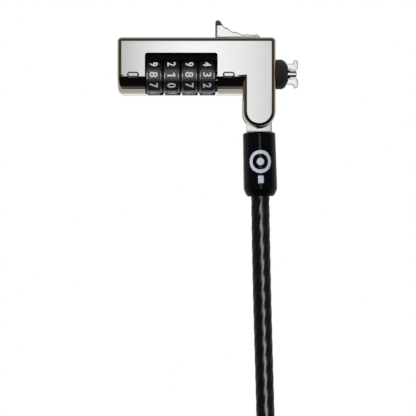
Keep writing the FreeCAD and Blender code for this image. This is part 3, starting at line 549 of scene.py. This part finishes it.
def wrap_on_ferrule(name, faces_of):
    """A thin inlay bent round the ferrule, from a flat mesh of places across and along it."""
    work = bmesh.new()
    faces_of(work)
    bmesh.ops.triangulate(work, faces=work.faces[:])
    bmesh.ops.subdivide_edges(work, edges=work.edges[:], cuts=MARK_CUTS, use_grid_fill=True)
    across = Vector((math.cos(LEAN), math.sin(LEAN), 0))
    up = Vector((0, 0, 1))
    for point in work.verts:
        angle = point.co.x / MARK_SURFACE
        outward = across * math.sin(angle) + up * math.cos(angle)
        along = CABLE_AXIS * point.co.y
        point.co = PIVOT + along + outward * MARK_SURFACE
    piece = add_piece(name, mesh_from(name, work), MARK_PAINT, "cable")
    thick = piece.modifiers.new("inlay", "SOLIDIFY")
    thick.thickness = MARK_THICKNESS
    thick.offset = 0


def add_ferrule_mark():
    """A plain generic mark: a ring round a dot, and a bar under it."""
    wrap_on_ferrule("mark_ring", ring_faces)
    wrap_on_ferrule("mark_dot", dot_faces)
    wrap_on_ferrule("mark_bar", bar_faces)


# ---------------------------------------------------------------- cable


CABLE_RADIUS = 2.82 * MM
STRANDS = 6
LAY_LENGTH = 30 * MM
STRAND_DEPTH = 0.08 * MM
CABLE_SIDES = 48
CABLE_GAP = 0.9 * MM
ROUTE_FINENESS = 12

# The coil: its middle, the points of each turn, the share of a turn after which the cable
# passes to the next column or layer, and each turn's radius and height.
COIL_MIDDLE = Vector((-16.2, -133.2, 0)) * MM
COIL_STEPS = 24
COIL_CHANGE = 0.8
COIL_TURNS = [
    (34.0, 3.75),
    (28.5, 3.75),
    (23.0, 3.75),
    (23.0, 9.25),
    (28.5, 9.25),
    (34.0, 9.25),
    (34.0, 14.75),
    (28.5, 14.75),
]

# The route from the ferrule to the coil.
LEAD_ROUTE = [
    (15.57, -16.0, 6.2),
    (15.8, -34.0, 6.2),
    (16.25, -53.0, 4.3),
    (16.85, -73.0, 2.75),
    (17.45, -93.0, 2.75),
    (17.75, -112.0, 3.45),
    (17.8, -122.0, 3.75),
]

# The route from the coil over its top and round the end eye, measured from the coil's middle.
EYE_ROUTE = [
    (26.7, -13.0, 16.6),
    (20.4, -25.6, 20.0),
    (8.8, -32.8, 21.25),
    (-8.8, -32.8, 21.25),
    (-19.0, -25.0, 21.0),
    (-24.4, -8.4, 20.6),
    (-17.6, 8.2, 20.3),
    (0.0, 14.8, 20.3),
    (15.8, 8.0, 20.3),
    (21.8, -7.5, 20.6),
    (14.4, -22.4, 21.0),
    (4.5, -27.2, 21.25),
    (-5.0, -27.3, 21.25),
]


def coil_points():
    """The wound turns, each passing to the next column or layer near its end."""
    points = []
    following_turns = COIL_TURNS[1:] + COIL_TURNS[-1:]
    for (radius_here, height_here), (radius_next, height_next) in zip(COIL_TURNS, following_turns):
        for step in range(COIL_STEPS):
            share = step / COIL_STEPS
            rise = max(0.0, (share - COIL_CHANGE) / (1 - COIL_CHANGE))
            ease = rise * rise * (3 - 2 * rise)
            radius = radius_here + (radius_next - radius_here) * ease
            height = height_here + (height_next - height_here) * ease
            angle = -2 * math.pi * share
            flat = Vector((math.cos(angle), math.sin(angle), 0)) * radius
            points.append(COIL_MIDDLE + (flat + Vector((0, 0, height))) * MM)
    last_radius, last_height = COIL_TURNS[-1]
    points.append(COIL_MIDDLE + Vector((last_radius, 0, last_height)) * MM)
    return points


def cable_line():
    """Points along the whole cable, read from one smooth spline through its route."""
    route = [Vector(point) * MM for point in LEAD_ROUTE]
    route += coil_points()
    route += [COIL_MIDDLE + Vector(point) * MM for point in EYE_ROUTE]
    curve = bpy.data.curves.new("cable_route", "CURVE")
    curve.dimensions = "3D"
    spline = curve.splines.new("NURBS")
    spline.points.add(len(route) - 1)
    for point, place in zip(spline.points, route):
        point.co = (*place, 1)
    spline.order_u = 3
    spline.use_endpoint_u = True
    curve.resolution_u = ROUTE_FINENESS
    line = mesh_from_curve(curve)
    places = [point.co.copy() for point in line.vertices]
    bpy.data.meshes.remove(line)
    return places


def evenly_spaced(places, gap):
    """Points on the same line, about one gap apart."""
    kept = [places[0]]
    travelled = 0.0
    for before, after in zip(places, places[1:]):
        travelled += (after - before).length
        if travelled >= gap:
            kept.append(after)
            travelled = 0.0
    kept.append(places[-1])
    return kept


def cable_ring(work, place, side, other, twist):
    """One section of the cable, with a shallow groove between each two strands."""
    ring = []
    for step in range(CABLE_SIDES):
        turned = 2 * math.pi * step / CABLE_SIDES
        angle = turned + twist
        radius = CABLE_RADIUS - STRAND_DEPTH * (1 - math.cos(STRANDS * turned)) / 2
        outward = side * math.cos(angle) + other * math.sin(angle)
        ring.append(work.verts.new(place + outward * radius))
    return ring


def cable_mesh(places):
    """A tube through the places, its section ridged by the strands' twist."""
    side = Vector((1, 0, 0))
    travelled = 0.0
    work = bmesh.new()
    rings = []
    for index, place in enumerate(places):
        before = places[max(index - 1, 0)]
        after = places[min(index + 1, len(places) - 1)]
        heading = (after - before).normalized()
        side = (side - heading * side.dot(heading)).normalized()
        other = heading.cross(side)
        if index:
            travelled += (place - before).length
        twist = 2 * math.pi * travelled / LAY_LENGTH
        rings.append(cable_ring(work, place, side, other, twist))
    for ring, following in zip(rings, rings[1:]):
        for step in range(CABLE_SIDES):
            ahead = (step + 1) % CABLE_SIDES
            work.faces.new((ring[step], ring[ahead], following[ahead], following[step]))
    work.faces.new(rings[0])
    work.faces.new(list(reversed(rings[-1])))
    bmesh.ops.recalc_face_normals(work, faces=work.faces[:])
    mesh = mesh_from("steel_cable", work)
    smooth_within(mesh, CURVED_SHARP)
    return mesh


def add_cable():
    """The sheathed cable, from the ferrule through its coil to the end eye."""
    places = evenly_spaced(cable_line(), CABLE_GAP)
    piece = add_piece("steel_cable", cable_mesh(places), CABLE_SHEATH, "cable")
    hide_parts("cable_lead", "cable_coil", "cable_eye")


# ---------------------------------------------------------------- light and camera


def glow_material(name, stops):
    """Glowing colours that change along X, by stops of a place and a colour."""
    material = bpy.data.materials.new(name)
    material.use_nodes = True
    tree = material.node_tree
    tree.nodes.clear()
    out = tree.nodes.new("ShaderNodeOutputMaterial")
    glow = tree.nodes.new("ShaderNodeEmission")
    place = tree.nodes.new("ShaderNodeTexCoord")
    parts = tree.nodes.new("ShaderNodeSeparateXYZ")
    share = tree.nodes.new("ShaderNodeMapRange")
    start = stops[0][0]
    end = stops[-1][0]
    share.inputs["From Min"].default_value = start * MM
    share.inputs["From Max"].default_value = end * MM
    ramp = tree.nodes.new("ShaderNodeValToRGB")
    elements = ramp.color_ramp.elements
    while len(elements) < len(stops):
        elements.new(0.5)
    for element, (x, *colour) in zip(elements, stops):
        element.position = (x - start) / (end - start)
        element.color = (*colour, 1)
    tree.links.new(place.outputs["Object"], parts.inputs["Vector"])
    tree.links.new(parts.outputs["X"], share.inputs["Value"])
    tree.links.new(share.outputs["Result"], ramp.inputs["Fac"])
    tree.links.new(ramp.outputs["Color"], glow.inputs["Color"])
    tree.links.new(glow.outputs["Emission"], out.inputs["Surface"])
    return material


def glow_panel(name, parts, height, stops, facing_down=True):
    """Flat glowing rectangles at one height, in millimetres but for the height."""
    work = bmesh.new()
    for left, near, right, far in parts:
        corners = [(left, near), (right, near), (right, far), (left, far)]
        work.faces.new([work.verts.new((x * MM, y * MM, height)) for x, y in corners])
    if facing_down:
        bmesh.ops.reverse_faces(work, faces=work.faces[:])
    panel = bpy.data.objects.new(name, mesh_from(name, work))
    bpy.context.scene.collection.objects.link(panel)
    panel.data.materials.append(glow_material(name, stops))


def soft_light(name, place, aim, size, power, only=()):
    """An area light; one that is only for some pieces gives them a highlight and no more."""
    light = bpy.data.lights.new(name, "AREA")
    light.shape = "RECTANGLE"
    light.size, light.size_y = size
    light.energy = power
    holder = bpy.data.objects.new(name, light)
    holder.location = place
    holder.rotation_euler = (Vector(aim) - Vector(place)).to_track_quat("-Z", "Y").to_euler()
    bpy.context.scene.collection.objects.link(holder)
    if only:
        lit = bpy.data.collections.new(name + "_receivers")
        for piece in only:
            lit.objects.link(piece)
        holder.light_linking.receiver_collection = lit
        holder.visible_diffuse = False
    return holder


def cool_white(level):
    """A slightly blue panel colour, which the warm plating turns neutral."""
    return tuple(level / base for base in PEARL_NICKEL)


WHITE = (1.0, 1.0, 1.0)
FLOOR_HALF = 3000
FLOOR_HEIGHT = -0.2 * MM

# The panel over the lock, which the plating reflects: its rectangles (left, near, right, far)
# in millimetres, and how bright the plating looks under it at places along X.
OVERHEAD_HEIGHT = 800 * MM
OVERHEAD_PARTS = [
    (-79, 35, 58, 120),
    (-79, -64, 28, 35),
    (4, 120, 48, 137),
]
OVERHEAD_LEVELS = [
    (-78, 0.50),
    (-60, 0.68),
    (-40, 0.82),
    (-18, 0.90),
    (-2, 0.92),
    (30, 0.80),
    (58, 0.64),
]
HEAD_PART = (58, 72, 82, 107)
HEAD_LEVEL = 0.84

ROOM_DARK = (0.010, 0.009, 0.008)
ROOM_BROWN = (0.13, 0.105, 0.085)
ROOM_LOW = (0.50, 0.47, 0.42)

# Where each further colour of the room comes in: along which axis, where it starts and ends.
ROOM_SHADES = [
    ("Y", -0.25, 0.1, ROOM_BROWN),
    ("Z", 0.34, 0.0, ROOM_LOW),
]

# Soft lights, all in metres and watts: where each is, what it aims at, its size and power.
KEY_LIGHT = ((-0.15, 0.25, 0.5), (0, 0, 0), (0.25, 0.25), 3.4)
WHEEL_GLINTS = {
    "wheel_glint_left": ((-0.3, AXIS_Y, 0.4), (-0.008, AXIS_Y, 0), (0.3, 0.35), 4.0),
    "wheel_glint_right": ((0.3, AXIS_Y, 0.4), (-0.008, AXIS_Y, 0), (0.3, 0.35), 4.0),
}
CABLE_GLINTS = {
    "cable_glint": ((0.13, -0.15, 0.8), (0.016, -0.06, 0), (0.05, 0.5), 19.0),
    "cable_side_left": ((-0.6, -0.08, 0.35), (0.016, -0.08, 0), (0.5, 0.5), 0.35),
    "cable_side_right": ((0.6, -0.08, 0.35), (0.016, -0.08, 0), (0.5, 0.5), 0.35),
}
FERRULE_GLINT = ((0.046, 0.028, 0.8), (0.015, -0.01, 0), (0.06, 0.02), 0.35)

CAMERA_LENS = 115.4
CAMERA_SENSOR = 36
CAMERA_NEAR = 10 * MM
CAMERA_PLACE = (0.0, -0.0298, 0.4071)


def set_surroundings():
    """A dark room: black in front, brownish behind and beside, lighter near the floor."""
    world = bpy.data.worlds.new("studio")
    world.use_nodes = True
    tree = world.node_tree
    background = tree.nodes["Background"]
    place = tree.nodes.new("ShaderNodeTexCoord")
    parts = tree.nodes.new("ShaderNodeSeparateXYZ")
    tree.links.new(place.outputs["Generated"], parts.inputs["Vector"])
    previous = None
    for axis, start, end, colour in ROOM_SHADES:
        share = tree.nodes.new("ShaderNodeMapRange")
        share.interpolation_type = "SMOOTHSTEP"
        share.inputs["From Min"].default_value = start
        share.inputs["From Max"].default_value = end
        tree.links.new(parts.outputs[axis], share.inputs["Value"])
        mixed = tree.nodes.new("ShaderNodeMix")
        mixed.data_type = "RGBA"
        tree.links.new(share.outputs["Result"], mixed.inputs["Factor"])
        if previous is None:
            mixed.inputs["A"].default_value = (*ROOM_DARK, 1)
        else:
            tree.links.new(previous, mixed.inputs["A"])
        mixed.inputs["B"].default_value = (*colour, 1)
        previous = mixed.outputs["Result"]
    tree.links.new(previous, background.inputs["Color"])
    bpy.context.scene.world = world


def set_lights():
    """A soft key light, and highlights on the pieces that the overhead panel doesn't reach."""
    key = soft_light("key", *KEY_LIGHT)
    key.visible_glossy = False
    wheels = [NODES[f"number_wheel_{number}"] for number in WHEELS]
    for name, values in WHEEL_GLINTS.items():
        soft_light(name, *values, only=wheels)
    for name, values in CABLE_GLINTS.items():
        soft_light(name, *values, only=[bpy.data.objects["steel_cable"]])
    soft_light("ferrule_glint", *FERRULE_GLINT, only=[NODES["ferrule_sleeve"]])


def set_stage():
    """The pale floor, the overhead panel and the room round them."""
    floor = [(-FLOOR_HALF, -FLOOR_HALF, FLOOR_HALF, FLOOR_HALF)]
    even_white = [(-FLOOR_HALF, *WHITE), (FLOOR_HALF, *WHITE)]
    glow_panel("floor", floor, FLOOR_HEIGHT, even_white, facing_down=False)
    levels = [(x, *cool_white(level)) for x, level in OVERHEAD_LEVELS]
    glow_panel("overhead", OVERHEAD_PARTS, OVERHEAD_HEIGHT, levels)
    left, near, right, far = HEAD_PART
    head_levels = [(left, *cool_white(HEAD_LEVEL)), (right, *cool_white(HEAD_LEVEL))]
    glow_panel("overhead_head", [HEAD_PART], OVERHEAD_HEIGHT, head_levels)
    set_surroundings()
    bpy.context.scene.view_settings.view_transform = "Standard"


def set_camera():
    """Straight down over the lock, from a little over 40 cm."""
    data = bpy.data.cameras.new("camera")
    data.sensor_width = CAMERA_SENSOR
    data.lens = CAMERA_LENS
    data.clip_start = CAMERA_NEAR
    camera = bpy.data.objects.new("camera", data)
    camera.location = CAMERA_PLACE
    bpy.context.scene.collection.objects.link(camera)
    bpy.context.scene.camera = camera


# ---------------------------------------------------------------- build


finish_frame()
add_digits()
add_return_spring()
add_ferrule_mark()
add_cable()
set_stage()
set_lights()
set_camera()
